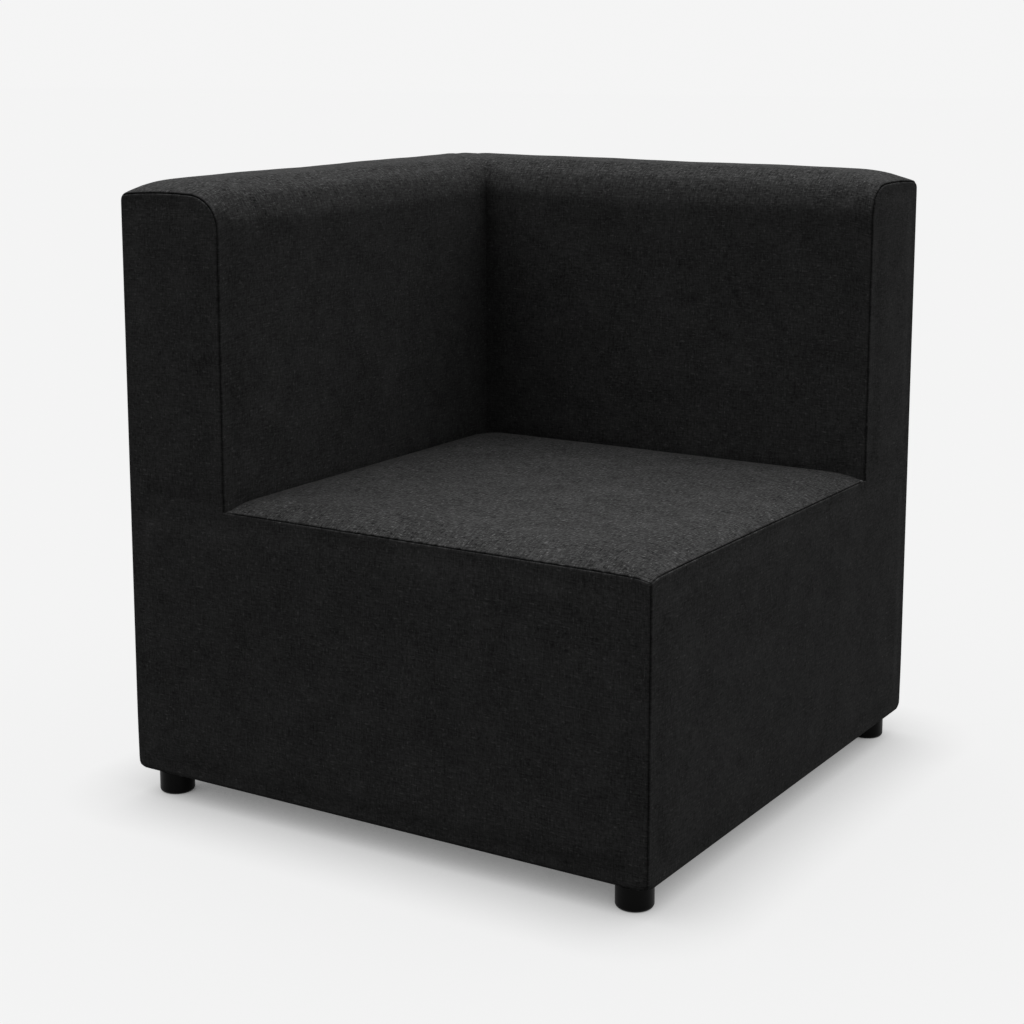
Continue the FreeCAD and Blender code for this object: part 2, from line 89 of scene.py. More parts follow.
INNER_SWELL = 0.0018  # middle of a wall's inner face beyond its ends
SWELL = 0.0022  # most that the filling pushes the cloth out
PRESSURE = 4.0
SETTLE_REACH = 0.035  # distance from a seam over which the cloth is held back
MITRE_LIFT = 0.0013  # how much lower the walls' tops are held at the seam between them
MITRE_REACH = 0.030
CORNER_ROUND = 0.0020  # how far a bottom corner is drawn in
ROUND_REACH = 0.008

# Dust cover, its openings and its staples
UNDERSIDE = 0.036  # its lower face
SHEET = 0.0008  # its thickness
SLACK = 0.0028  # sag between the boards
BOARD = 0.018  # thickness of the boards that it is fixed to
STUD_OPENING = 0.0085  # radius of the opening at a stud
STAPLES = 14  # along each side
STAPLE_INSET = 0.006  # from the sheet's edge
STAPLE_HALF_LENGTH = 0.005
STAPLE_WIRE = (0.00055, 0.0003)  # half width and half height of the wire
STAPLE_BEND = 0.0007  # rise of its bent ends
STAPLE_ROOM = 0.009  # least distance from a foot

# Seams: each cover rolls over into the seam
LIP = 0.0013  # radius of the roll
HEM_LIP = 0.0004  # the same at the hem
MITRE_LIP = 0.0005  # the flatter seam between the walls
MITRE_PRESS = 0.00012  # the walls press together there
DIVE = 0.0030  # straight part of the seam allowance
HEM_DIVE = 0.0005
SIDE_WEDGE = math.pi / 4  # angle between a cover's face and the plane of its seam
SEAT_WEDGE = math.radians(57.5)  # the same for the seat and the panel before it
SEAM_ROOM = 0.00015  # room between a cover and that plane
LIP_STEPS = 4

# Spacing of points beside a seam, above the bottom fold, over a wall's top and in the middle of a face
SEAM_STEP = 0.0022
HEM_STEP = 0.004
CURVE_STEP = 0.006
FACE_STEP = 0.0075
# Lengths that the rows are counted for: a wall's outer and inner face, and its end above the seat
OUTER_FACE = 0.78
INNER_FACE = 0.38
END_FACE = 0.40
COS_45 = math.sqrt(0.5)


def graded(length, fine_start, fine_end, coarse, growth=1.4):
    """Shares from 0 to 1 of a length, close together at its ends and even in its middle."""
    def ramp(fine):
        steps = []
        while fine < coarse:
            steps.append(fine)
            fine *= growth
        return steps
    first, last = ramp(fine_start), ramp(fine_end)
    rest = length - sum(first) - sum(last)
    middle = max(1, round(rest / coarse))
    steps = np.array(first + [rest / middle] * middle + last[::-1])
    places = np.concatenate([[0], np.cumsum(steps)])
    return places / places[-1]


def run_of(points):
    """Length along a line of points, from its start to each of them."""
    return np.concatenate([[0], np.cumsum(np.linalg.norm(np.diff(points, axis=0), axis=-1))])


def unit(vectors):
    return vectors / np.maximum(np.linalg.norm(vectors, axis=-1, keepdims=True), 1e-12)


class Cover:
    """Points, cloth coordinates and faces of one closed upholstery piece."""

    def __init__(self):
        self.points, self.cloth, self.depth, self.faces = [], [], [], []
        self.count = 0

    def add(self, points, cloth, depth=0.0):
        points = np.asarray(points, float)
        shape = points.shape[:-1]
        size = int(np.prod(shape))
        self.points.append(points.reshape(-1, 3))
        self.cloth.append(np.broadcast_to(cloth, shape + (2,)).reshape(-1, 2))
        self.depth.append(np.broadcast_to(depth, shape).reshape(-1))
        index = np.arange(self.count, self.count + size).reshape(shape)
        self.count += size
        return index

    def strip(self, index):
        """Quads between neighbouring rows and columns of an index grid."""
        quads = np.stack([index[:-1, :-1], index[1:, :-1], index[1:, 1:], index[:-1, 1:]], -1)
        self.faces.append(quads.reshape(-1, 4))

    def close(self, rings):
        """Quads between rings of points that go all the way round."""
        stacked = np.stack(rings)
        self.strip(np.concatenate([stacked, stacked[:, :1]], 1))

    def placed(self):
        return np.concatenate(self.points), np.concatenate(self.cloth), np.concatenate(self.depth)


def lip_rings(base, normal, outward, radius, wedge, dive):
    """Rings of points that carry a sheet's edge over into a seam. wedge is the angle inside the piece
    between its face and the plane on which it meets its neighbour."""
    radius, wedge, dive = (np.broadcast_to(x, len(base))[:, None] for x in (radius, wedge, dive))
    rings = []
    for step in range(1, LIP_STEPS + 1):
        angle = (math.pi - wedge) * step / LIP_STEPS
        rings.append(base + outward * radius * np.sin(angle) - normal * radius * (1 - np.cos(angle)))
    inward = -outward * np.cos(wedge) - normal * np.sin(wedge)
    rings.append(rings[-1] + inward * dive)
    return rings


def inset_for(radius, wedge):
    """Distance along the face from the seam's line to the start of the roll."""
    return radius / np.tan(wedge / 2) + SEAM_ROOM


def ripple(first, second, third):
    """An uneven wave between -1 and 1, from three phases."""
    return 0.5 * np.sin(first) + 0.3 * np.sin(second) + 0.2 * np.sin(third)


def joined(*parts):
    """Arrays side by side along a new last axis, each stretched to the shape of all."""
    return np.stack(np.broadcast_arrays(*parts), -1)


def clipped(share):
    return np.clip(share, 0, 1)


def smooth_step(share):
    share = clipped(share)
    return share * share * (3 - 2 * share)


def crest(u):
    towards_full = np.minimum(np.maximum(u, 0) / END_ROLL, 1)
    return CREST + END_RISE * (1 - (1 - towards_full) ** 2) + CORNER_RISE * u / (2 * HALF)


def edge_centres():
    """Centres of the arcs of a wall's top as (v, height above the crest): crown, outer and inner edge."""
    crown = (WALL / 2, -CROWN_RADIUS)

    def edge(radius, v):
        return (v, crown[1] + math.sqrt((CROWN_RADIUS - radius) ** 2 - (v - crown[0]) ** 2))

    return crown, edge(OUTER_RADIUS, OUTER_RADIUS), edge(INNER_RADIUS, WALL - INNER_RADIUS)


def top_curve():
    """The curve over a wall's top from its outer to its inner face, as points (v, height above the crest)
    and normals (v, z)."""
    crown, outer, inner = edge_centres()
    outer_angle = math.atan2(outer[1] - crown[1], outer[0] - crown[0])
    inner_angle = math.atan2(inner[1] - crown[1], inner[0] - crown[0])
    runs = ((outer, OUTER_RADIUS, math.pi, outer_angle), (crown, CROWN_RADIUS, outer_angle, inner_angle),
            (inner, INNER_RADIUS, inner_angle, 0.0))
    points, normals = [], []
    for centre, radius, start, end in runs:
        steps = max(5, round(abs(end - start) * radius / CURVE_STEP))
        for step in range(steps + (radius == INNER_RADIUS)):
            angle = start + (end - start) * step / steps
            points.append((centre[0] + radius * math.cos(angle), centre[1] + radius * math.sin(angle)))
            normals.append((math.cos(angle), math.sin(angle)))
    return np.array(points), np.array(normals)


def fold_rows(steps=5):
    """Rows from the end of the hem round the bottom edge: (distance in from the face, height) and the
    outward normals (across, up)."""
    flat = [(HEM, BOTTOM), (HEM * 0.62, BOTTOM), (HEM * 0.36, BOTTOM)]
    points, normals = list(flat), [(0.0, -1.0)] * len(flat)
    for step in range(steps):
        angle = math.pi / 2 * step / steps
        points.append((FOLD - FOLD * math.sin(angle), BOTTOM + FOLD - FOLD * math.cos(angle)))
        normals.append((-math.sin(angle), -math.cos(angle)))
    return np.array(points), np.array(normals)


def left_frame(p):
    """Points (u along, v across, z) of the left wall in the frame of the whole."""
    return joined(p[..., 1] - HALF, p[..., 0] - HALF, p[..., 2])


def back_frame(p):
    """The same for the back wall."""
    return joined(HALF - p[..., 0], HALF - p[..., 1], p[..., 2])


def wall_piece():
    """A wall's cover with its padding, in the wall's own frame: u from the open end, v from the outer face.
    It runs from the hem up the outer face, over the top and down the inner face."""
    fold, fold_normal = fold_rows()
    curve, curve_normal = top_curve()
    outer_shares = graded(OUTER_FACE, HEM_STEP, CURVE_STEP, FACE_STEP)[:-1]
    inner_shares = graded(INNER_FACE, CURVE_STEP, CURVE_STEP, FACE_STEP)[1:]
    outer_flat, inner_flat = np.zeros(len(outer_shares)), np.zeros(len(inner_shares))
    v = [fold[:, 0], outer_flat, curve[:, 0], inner_flat + WALL]
    nv = [fold_normal[:, 0], outer_flat - 1, curve_normal[:, 0], inner_flat + 1]
    nz = [fold_normal[:, 1], outer_flat, curve_normal[:, 1], inner_flat]
    v, nv, nz = np.concatenate(v), np.concatenate(nv), np.concatenate(nz)
    rows = len(v)
    in_fold = np.arange(rows) < len(fold)
    softness = clipped(-nz) * in_fold
    radius = LIP + (HEM_LIP - LIP) * softness
    dive = DIVE + (HEM_DIVE - DIVE) * softness

    mitre_wedge = np.arccos(np.clip(-nv * COS_45, -1, 1))
    open_wedge = np.where(in_fold, mitre_wedge, SIDE_WEDGE)
    start = np.where(in_fold, v, 0) + inset_for(radius, open_wedge)
    mitre_radius = np.where(in_fold, radius, LIP + (MITRE_LIP - LIP) * clipped(nv + 1))
    mitre_room = mitre_radius * (1 + np.cos(mitre_wedge)) - MITRE_PRESS
    end = 2 * HALF - v - mitre_room * math.sqrt(2)

    shares = graded(2 * HALF, SEAM_STEP, SEAM_STEP, FACE_STEP)
    u = start[:, None] + (end - start)[:, None] * shares
    top = crest(u)
    z = np.empty_like(u)
    first, second = len(fold), len(fold) + len(outer_shares)
    third = second + len(curve)
    z[:first] = fold[:, 1:]
    low = BOTTOM + FOLD
    z[first:second] = low + outer_shares[:, None] * (top[first:second] + curve[0, 1] - low)
    z[second:third] = top[second:third] + curve[:, 1:]
    high = top[third:] + curve[-1, 1]
    z[third:] = high + inner_shares[:, None] * (TOPPER_BOTTOM - high)
    grid = joined(u, v[:, None], z)

    along_rows = np.gradient(grid, axis=0)
    along_columns = np.gradient(grid, axis=1)
    normal = unit(np.cross(along_rows, along_columns))
    section_normal = joined(0.0, nv, nz)
    normal *= np.sign(np.einsum("ijk,ik->ij", normal, section_normal))[..., None]
    grid = grid + normal * wall_softness(grid)[..., None]

    path = run_of(grid[:, grid.shape[1] // 2])
    cloth = joined(u, path[:, None])

    open_normal = normal[:, 0]
    seam_line = unit(np.gradient(grid[:, 0], axis=0))
    open_out = unit(np.cross(seam_line, open_normal))
    open_out *= np.sign(-open_out[:, :1])
    mitre = np.array([1, 1, 0]) * COS_45
    mitre_out = unit(mitre - (section_normal @ mitre)[:, None] * section_normal)
    open_rings = lip_rings(grid[:, 0], open_normal, open_out, radius, open_wedge, dive)
    mitre_rings = lip_rings(grid[:, -1], section_normal, mitre_out, mitre_radius, mitre_wedge, dive)

    piece = Cover()
    steps = len(open_rings)
    whole = np.concatenate([np.stack(open_rings[::-1], 1), grid, np.stack(mitre_rings, 1)], 1)
    cloth_whole = np.pad(cloth, ((0, 0), (steps, steps), (0, 0)), mode="edge")
    # How deep each ring lies in a seam; the cloth material paints shade from it, and the flatter seam between
    # the walls gets less
    depth = np.zeros(whole.shape[1])
    depth[:steps] = np.linspace(1, 0.25, steps)
    depth[-steps:] = np.linspace(0.06, 0.5, steps)
    index = piece.add(whole, cloth_whole, depth)
    piece.strip(index)

    # Hidden side against the foam and the frame
    inner = [(WALL - SEAM_STEP, TOPPER_BOTTOM), (WALL - INNER_LAYER, TOPPER_BOTTOM),
             (WALL - INNER_LAYER, FRAME_TOP), (LAYER, FRAME_TOP), (LAYER, FRAME_BOTTOM), (HEM, FRAME_BOTTOM)]
    base = index[:, steps:-steps]
    lines = [base[-1]]
    beside_face = {0: u[-1], len(inner) - 1: u[0]}
    for number, (vi, zi) in enumerate(inner):
        near, far = LAYER + 0.004, 2 * HALF - vi - 0.006
        if number in beside_face:
            near, far = beside_face[number][[0, -1]]
        lines.append(piece.add(joined(near + (far - near) * shares, vi, zi), (0.0, 0.0), 1.0))
    lines.append(base[0])
    piece.strip(np.stack(lines))
    return piece


def wall_softness(grid):
    """Slight swell of the padding between a wall's seams, as a distance out from the plain form."""
    u, v, z = grid[..., 0], grid[..., 1], grid[..., 2]
    length = 2 * HALF - v
    along = clipped(u / length)
    ends = smooth_step(np.minimum(u, length - u) / UNEVEN_FADE)
    wave = ripple(23 * u + 11 * z + 2 * v, 41 * z - 17 * u + 1.3, 67 * u + 53 * z + 0.4)
    above = clipped((z - 0.46) / 0.06)
    inner = (v > WALL - 0.02) * above
    swell = INNER_SWELL * inner * np.sin(math.pi * along)
    return (WALL_UNEVEN * wave + swell) * ends


def panel_piece():
    """The L-shaped panel over an open face: the end of a wall and the base beside it. In the wall's frame:
    u goes in from the face, v along it from the outer corner."""
    inset = inset_for(LIP, SIDE_WEDGE)
    seat_inset = inset_for(LIP, SEAT_WEDGE)
    fold, fold_normal = fold_rows()
    wall_columns = graded(WALL, SEAM_STEP, SEAM_STEP, FACE_STEP)
    base_columns = graded(2 * HALF - WALL, SEAM_STEP, SEAM_STEP, FACE_STEP)
    corner_v = WALL - inset
    corner_z = SEAM - seat_inset
    end_v = 2 * HALF - inset
    v_line = np.concatenate([inset + wall_columns * (corner_v - inset),
                             corner_v + base_columns[1:] * (end_v - corner_v)])
    corner = len(wall_columns) - 1
    share_v = (v_line - inset) / (end_v - inset)

    low = BOTTOM + FOLD
    rise = graded(corner_z - low, HEM_STEP, SEAM_STEP, FACE_STEP)
    depth_rows = np.concatenate([fold[:, 0], np.zeros(len(rise))])
    z_rows = np.concatenate([fold[:, 1], low + rise * (corner_z - low)])
    softness = np.concatenate([clipped(-fold_normal[:, 1]), np.zeros(len(rise))])
    row_radius = LIP + (HEM_LIP - LIP) * softness
    row_dive = DIVE + (HEM_DIVE - DIVE) * softness
    across = np.concatenate([fold_normal[:, 0], np.full(len(rise), -1.0)])
    row_wedge = np.arccos(np.clip(-across * COS_45, -1, 1))
    v_low = depth_rows + inset_for(row_radius, row_wedge)
    v_high = 2 * HALF - v_low
    v_grid = v_low[:, None] + (v_high - v_low)[:, None] * share_v
    lower = joined(depth_rows[:, None], v_grid, z_rows[:, None])
    lower_normal = joined(across, 0.0, -softness)

    curve, curve_normal = top_curve()
    outline = curve - curve_normal * inset + np.array([0, CREST])
    outer_end = np.searchsorted(curve_normal[:, 0], -COS_45)
    inner_start = np.searchsorted(curve_normal[:, 0], COS_45)

    def along(points, shares):
        run = run_of(points)
        return joined(*(np.interp(shares * run[-1], run, points[:, k]) for k in (0, 1)))

    up = graded(END_FACE, SEAM_STEP, SEAM_STEP, FACE_STEP)
    left_side = along(np.concatenate([[(inset, corner_z)], outline[:outer_end + 1]]), up)
    right_side = along(np.concatenate([[(corner_v, corner_z)], outline[:inner_start - 1:-1]]), up)
    top_side = along(outline[outer_end:inner_start + 1], wall_columns)
    bottom_side = joined(v_line[:corner + 1], corner_z)
    f, t = wall_columns[None, :, None], up[:, None, None]
    upper_vz = ((1 - t) * bottom_side[None] + t * top_side[None]
                + (1 - f) * left_side[:, None] + f * right_side[:, None]
                - (1 - f) * (1 - t) * bottom_side[0] - f * (1 - t) * bottom_side[-1]
                - (1 - f) * t * top_side[0] - f * t * top_side[-1])
    upper = np.concatenate([np.zeros(upper_vz.shape[:2] + (1,)), upper_vz], -1)

    def soften(grid):
        grid = grid.copy()
        grid[..., 0] -= panel_softness(grid)
        return grid

    straight = z_rows > low - 1e-6
    lower[straight] = soften(lower[straight])
    upper = soften(upper)

    piece = Cover()
    lower_index = piece.add(lower, joined(v_grid, (z_rows - depth_rows)[:, None]))
    upper_new = piece.add(upper[1:], upper_vz[1:])
    upper_index = np.concatenate([lower_index[-1:, :corner + 1], upper_new])
    piece.strip(lower_index)
    piece.strip(upper_index)

    # The seam goes up the outer side, over the wall's end, down to the seat, along it and down the far side
    path = np.concatenate([lower_index[:-1, 0], upper_index[:-1, 0], upper_index[-1, :],
                           upper_index[-2::-1, -1], lower_index[-1, corner + 1:], lower_index[-2::-1, -1]])
    points, cloth, _ = piece.placed()
    base = points[path]
    rows = len(z_rows)

    def round_seam(plain, row_values):
        """Values along the seam: row_values up its first and down its last rows, and plain between them."""
        values = np.tile(plain, (len(path), 1)) if np.ndim(plain) else np.full(len(path), plain)
        values[:rows - 1] = row_values[:-1]
        values[1 - rows:] = row_values[-2::-1]
        return values

    normal = round_seam([-1.0, 0, 0], lower_normal)
    radius = round_seam(LIP, row_radius)
    dive = round_seam(DIVE, row_dive)
    wedge = round_seam(SIDE_WEDGE, row_wedge)
    top_start = rows + len(upper_index) - 2
    top_end = top_start + upper_index.shape[1]
    seat_start = top_end + len(upper_index) - 1
    seat_end = seat_start + len(v_line) - corner - 1
    wedge[seat_start:seat_end - 1] = SEAT_WEDGE
    wedge[[seat_start - 1, seat_end - 1]] = (SIDE_WEDGE + SEAT_WEDGE) / 2

    edge = unit(np.diff(base, axis=0))
    edge_normal = unit((normal[1:] + normal[:-1]) / 2)
    out = unit(np.cross(edge, edge_normal))
    before = np.concatenate([out[:1], out])
    after = np.concatenate([out, out[-1:]])
    outward = (before + after) / (1 + np.sum(before * after, -1))[:, None]
    outward -= normal * np.sum(outward * normal, -1)[:, None]
    if outward[rows // 2, 1] > 0:
        outward = -outward
    rings = lip_rings(base, normal, outward, radius, wedge, dive)
    # How deep each ring lies in the seam, from which the cloth material paints shade
    shades = np.linspace(0.25, 1, len(rings))
    ring_index = [path] + [piece.add(r, cloth[path], s) for r, s in zip(rings, shades)]
    piece.strip(np.stack(ring_index))

    # Hidden back of the panel
    def hidden_line(depth, v, z):
        return piece.add(joined(depth, v, z), (0, 0), 1.0)

    last = ring_index[-1]
    back_low = hidden_line(HEM - HEM_LIP, v_grid[0], FRAME_BOTTOM)
    bend = hidden_line(LAYER, v_grid[-1], FRAME_BOTTOM)
    middle = hidden_line(LAYER, v_grid[-1], corner_z - 0.002)
    top_path = slice(top_start, top_end)
    top_back_points = base[top_path].copy()
    top_back_points[:, 0] = LAYER
    top_back_points[:, 2] -= 0.001
    top_back = piece.add(top_back_points, (0, 0), 1.0)
    piece.strip(np.stack([lower_index[0], back_low, bend, middle]))
    piece.strip(np.stack([middle[:corner + 1], top_back]))
    piece.strip(np.stack([top_back, last[top_path]]))
    piece.strip(np.stack([middle[corner:], last[seat_start - 1:seat_end]]))
    return piece


def panel_softness(grid):
    """Slight unevenness of a panel's padding."""
    v, z = grid[..., 1], grid[..., 2]
    wave = ripple(19 * v + 9 * z + 0.7, 37 * z - 13 * v, 61 * v + 47 * z + 1.1)
    edge = np.minimum(np.minimum(v, 2 * HALF - v), z - BOTTOM)
    wall_edge = np.abs(v - WALL) + (z < SEAM - 0.03)
    edge = np.minimum(edge, np.where(v > WALL, SEAM - z, np.maximum(CREST - z, 0)))
    edge = np.minimum(edge, np.where(z > SEAM, wall_edge, 1))
    return PANEL_UNEVEN * wave * smooth_step(edge / UNEVEN_FADE)


def arc_fall(distance, width, fall):
    """Depth below the level top of an arc that falls by fall over its width."""
    share = clipped(distance / width)
    radius = (width ** 2 + fall ** 2) / (2 * fall)
    return radius - np.sqrt(radius ** 2 - (share * width) ** 2)


def seat_height(x, y):
    from_front = y + HALF
    from_right = HALF - x
    to_back = HALF - WALL - y
    to_left = x + HALF - WALL
    front = 1 - arc_fall(SEAT_ROLL - from_front, SEAT_ROLL, SEAT_CROWN) / SEAT_CROWN
    right = 1 - arc_fall(SEAT_ROLL - from_right, SEAT_ROLL, SEAT_CROWN) / SEAT_CROWN
    back = arc_fall(SEAT_TUCK - to_back, SEAT_TUCK, SEAT_TUCK_DROP)
    left = arc_fall(SEAT_TUCK - to_left, SEAT_TUCK, SEAT_TUCK_DROP)
    swell = FLAT_RISE * np.sin(math.pi * clipped(from_front / (2 * HALF - WALL)))
    swell *= np.sin(math.pi * clipped(from_right / (2 * HALF - WALL)))
    wave = ripple(21 * x + 8 * y, 34 * y - 15 * x + 0.8, 58 * x + 49 * y)
    edge = np.minimum(np.minimum(from_front, from_right), np.minimum(to_back, to_left))
    plain = SEAM + SEAT_CROWN * front * right + swell - (back + left) * np.minimum(front, right)
    return plain + SEAT_UNEVEN * wave * clipped(edge / SEAT_UNEVEN_FADE)


def gathers(along, away):
    """Small gathers that start at a seam and lean along it: distance along the seam and away from it."""
    height = np.zeros_like(along)
    # Irrational steps spread the places, sizes, leans and widths evenly
    for number in range(GATHERS):
        share = (number * 0.6180339) % 1.0
        size = (number * 0.7548777) % 1.0
        place = GATHER_SPAN * share + 0.01
        reach = 0.010 + 0.020 * size
        lean = 0.35 + 0.5 * ((number * 0.5698403) % 1.0)
        width = 0.0022 + 0.0012 * ((number * 0.3819660) % 1.0)
        across = (along - place - lean * away - 9.0 * away ** 2) / width
        ridge = np.exp(-across ** 2) - 0.7 * np.exp(-(across + 1.7) ** 2)
        height += (0.35 + 0.65 * size) * ridge * np.exp(-(away / reach) ** 2)
    return PUCKER * height * clipped(away / 0.004)


def seat_piece():
    """The seat's cover with its soft layers, from the seams down to the springs' felt."""
    inset = inset_for(LIP, SEAT_WEDGE)
    low = -HALF + WALL + 0.0004 + SEAT_BEND
    high = HALF - inset
    shares = graded(high - low, 0.003, 0.0016, 0.0032, 1.2)
    x_line = low + shares * (high - low)
    y_line = -x_line[::-1]
    x, y = np.meshgrid(x_line, y_line)
    z = seat_height(x, y) + gathers(HALF - x, y + HALF) + 0.5 * gathers(y + HALF, HALF - x)
    grid = joined(x, y, z)
    piece = Cover()
    index = piece.add(grid, joined(x, y))
    piece.strip(index)

    # Front, right, back and left edge, and whether a seam or a fold ends the cover there
    sides = ((index[0, :], (0, -1), True), (index[:, -1], (1, 0), True),
             (index[-1, ::-1], (0, 1), False), (index[::-1, 0], (-1, 0), False))
    tilt = math.atan2(SEAT_CROWN * 2, SEAT_ROLL)
    loop = np.concatenate([side[:-1] for side, _, _ in sides])
    levels = LIP_STEPS + 3
    moves = np.zeros((levels, len(loop), 3))
    met = np.zeros((levels, len(loop)), bool)
    up = np.array([0, 0, 1.0])
    start = 0
    for side, (ox, oy), seam in sides:
        ids = (start + np.arange(len(side))) % len(loop)
        out = np.array([ox, oy, 0.0])
        if seam:
            normal = out * math.sin(tilt) + up * math.cos(tilt)
            outward = out * math.cos(tilt) - up * math.sin(tilt)
            rings = lip_rings(np.zeros((1, 3)), normal[None], outward[None], LIP, SEAT_WEDGE, DIVE)
            back, drop = -(LAYER + 0.0006 - inset) * out, 0.004
        else:
            rings = lip_rings(np.zeros((1, 3)), up[None], out[None], SEAT_BEND, math.pi / 2, 0.004)
            back, drop = rings[-1][0], 0.03
        rings.append(np.array([[back[0], back[1], rings[-1][0, 2] - drop]]))
        rings.append(np.array([[back[0], back[1], 0.0]]))
        for level, ring in enumerate(rings):
            move = ring[0]
            moves[level, ids, :2] += move[:2]
            both = (moves[level, ids, 2] + move[2]) / 2
            moves[level, ids, 2] = np.where(met[level, ids], both, move[2])
            met[level, ids] = True
        start += len(side) - 1
    base = grid.reshape(-1, 3)[loop]
    rings = [loop]
    for level in range(levels):
        points = base + moves[level]
        if level == levels - 1:
            points[:, 2] = DECK
        # How deep each ring lies in the seam or under the cover, from which the cloth material paints shade
        depth = 1.0 if level >= LIP_STEPS else (level + 1) / (LIP_STEPS + 1)
        rings.append(piece.add(points, base[:, :2], depth))
    piece.close(rings)
    return piece


def settle(points):
    """Draws the seam down at the front corner of the seat, flattens the walls' tops at their open ends and
    rounds the four bottom corners."""
    x, y, z = points[:, 0], points[:, 1], points[:, 2]
    away = np.hypot(x - HALF, y + HALF)
    drop = CORNER_DIP * np.exp(-(away / DIP_REACH) ** 2) * clipped((z - 0.385) / 0.03)
    drop += CORNER_DIP * 0.3 * np.exp(-(away / DIP_SPREAD) ** 2) * clipped((z - 0.36) / 0.05)
    for u, v in ((y + HALF, x + HALF), (HALF - x, HALF - y)):
        across = clipped(4 * v * (WALL - v) / WALL ** 2)
        at_end = (1 - clipped(u / END_ROLL)) ** 2
        drop += END_FLATTER * across * at_end * clipped((z - 0.79) / 0.035)
    out = points.copy()
    out[:, 2] -= drop
    height = z - BOTTOM
    for sx, sy in ((-1, -1), (1, -1), (-1, 1), (1, 1)):
        near = np.exp(-(np.hypot(x - sx * HALF, y - sy * HALF) / ROUND_REACH) ** 2)
        pull = CORNER_ROUND * near * (np.exp(-(height / 0.006) ** 2) + 0.3 * np.exp(-(height / 0.05) ** 2))
        out[:, 0] -= sx * pull
        out[:, 1] -= sy * pull
        out[:, 2] += 0.5 * pull
    return out


def link_object(name, mesh):
    obj = bpy.data.objects.new(name, mesh)
    bpy.context.scene.collection.objects.link(obj)
    return obj


def make_object(name, piece, place, material, cut_from=(0.0, 0.0)):
    """cut_from is where on the bolt of cloth the piece is cut, so that no two pieces have the same yarns."""
    points, cloth, depth = piece.placed()
    faces = np.concatenate(piece.faces)
    cloth = cloth + np.array(cut_from)
    points = settle(place(points))
    mesh = bpy.data.meshes.new(name)
    mesh.from_pydata(points.tolist(), [], faces.tolist())
    layer = mesh.uv_layers.new(name="cloth")
    corners = np.empty(len(mesh.loops), np.int32)
    mesh.loops.foreach_get("vertex_index", corners)
    layer.data.foreach_set("uv", cloth[corners].astype(np.float32).ravel())
    # The seam attribute holds each point's depth into a seam; the cloth material paints shade in the grooves
    # from it
    shade = mesh.attributes.new("seam", "FLOAT", "POINT")
    shade.data.foreach_set("value", depth.astype(np.float32))
    bm = bmesh.new()
    bm.from_mesh(mesh)
    bmesh.ops.holes_fill(bm, edges=[e for e in bm.edges if e.is_boundary], sides=0)
    bmesh.ops.triangulate(bm, faces=[f for f in bm.faces if len(f.verts) > 4])
    bmesh.ops.recalc_face_normals(bm, faces=bm.faces)
    for f in bm.faces:
        f.smooth = True
    open_edges = sum(1 for e in bm.edges if not e.is_manifold)
    bm.to_mesh(mesh)
    bm.free()
    mesh.materials.append(material)
    print(name, len(mesh.vertices), "vertices,", open_edges, "open edges")
    return link_object(name, mesh)


def coordinates(mesh):
    points = np.empty(len(mesh.vertices) * 3, np.float32)
    mesh.vertices.foreach_get("co", points)
    return points.reshape(-1, 3).astype(float)


def place_points(mesh, points):
    mesh.vertices.foreach_set("co", points.ravel().astype(np.float32))
    mesh.update()


def hold_seams(obj):
    """Vertex group and weights that hold a piece at its seams and hidden faces, and let go further away."""
    mesh = obj.data
    depth = np.empty(len(mesh.vertices), np.float32)
    mesh.attributes["seam"].data.foreach_get("value", depth)
    points = coordinates(mesh)
    fixed = np.flatnonzero(depth > 0)
    tree = kdtree.KDTree(len(fixed))
    for number, index in enumerate(fixed):
        tree.insert(points[index], number)
    tree.balance()
    away = np.array([0.0 if d > 0 else tree.find(p)[2] for p, d in zip(points, depth)])
    weights = np.round((1 - smooth_step(away / SETTLE_REACH)) * 20) / 20
    group = obj.vertex_groups.new(name="held")
    for weight in np.unique(weights):
        group.add(np.flatnonzero(weights == weight).tolist(), float(weight), "REPLACE")
    return weights


def fill_out(pieces, limit, pressure, frames=20):
    """The filling presses each piece's cloth out between its seams, by a cloth simulation of all of them.
    limit is the most that a point moves, and longer moves come smoothly near it."""
    start, weights = {}, {}
    for obj in pieces:
        start[obj] = coordinates(obj.data)
        weights[obj] = hold_seams(obj)
        cloth = obj.modifiers.new("cloth", "CLOTH")
        settings = cloth.settings
        settings.vertex_group_mass = "held"
        settings.quality = 3
        settings.mass = 0.02
        settings.use_pressure = True
        settings.uniform_pressure_force = pressure
        settings.effector_weights.gravity = 0.0
        settings.tension_stiffness = settings.compression_stiffness = 15
        settings.bending_stiffness = 0.5
        settings.shrink_min = -0.004
        cloth.collision_settings.use_collision = False
        cloth.point_cache.frame_start, cloth.point_cache.frame_end = 1, frames
    scene = bpy.context.scene
    for number in range(1, frames + 1):
        scene.frame_set(number)
    graph = bpy.context.evaluated_depsgraph_get()
    moved = {obj: coordinates(obj.evaluated_get(graph).data) for obj in pieces}
    for obj in pieces:
        obj.modifiers.clear()
        obj.vertex_groups.clear()
        shift = (moved[obj] - start[obj]) * (1 - weights[obj])[:, None]
        far = np.maximum(np.linalg.norm(shift, axis=1, keepdims=True), 1e-9)
        shift *= limit * np.tanh(far / limit) / far
        most, usual = (round(float(f(far)) * 1000, 2) for f in (np.max, np.median))
        print(obj.name, "is pushed out by", most, "mm at most, in the median", usual, "mm, before the limit")
        place_points(obj.data, start[obj] + shift)
    scene.frame_set(1)


def level_mitre(walls):
    """Lifts the walls' tops at the seam between them, where the simulation holds them a little lower."""
    for obj in walls:
        points = coordinates(obj.data)
        away = np.abs(points[:, 0] + points[:, 1]) * COS_45
        top = clipped((points[:, 2] - 0.80) / 0.03)
        points[:, 2] += MITRE_LIFT * top * np.exp(-(away / MITRE_REACH) ** 2)
        place_points(obj.data, points)


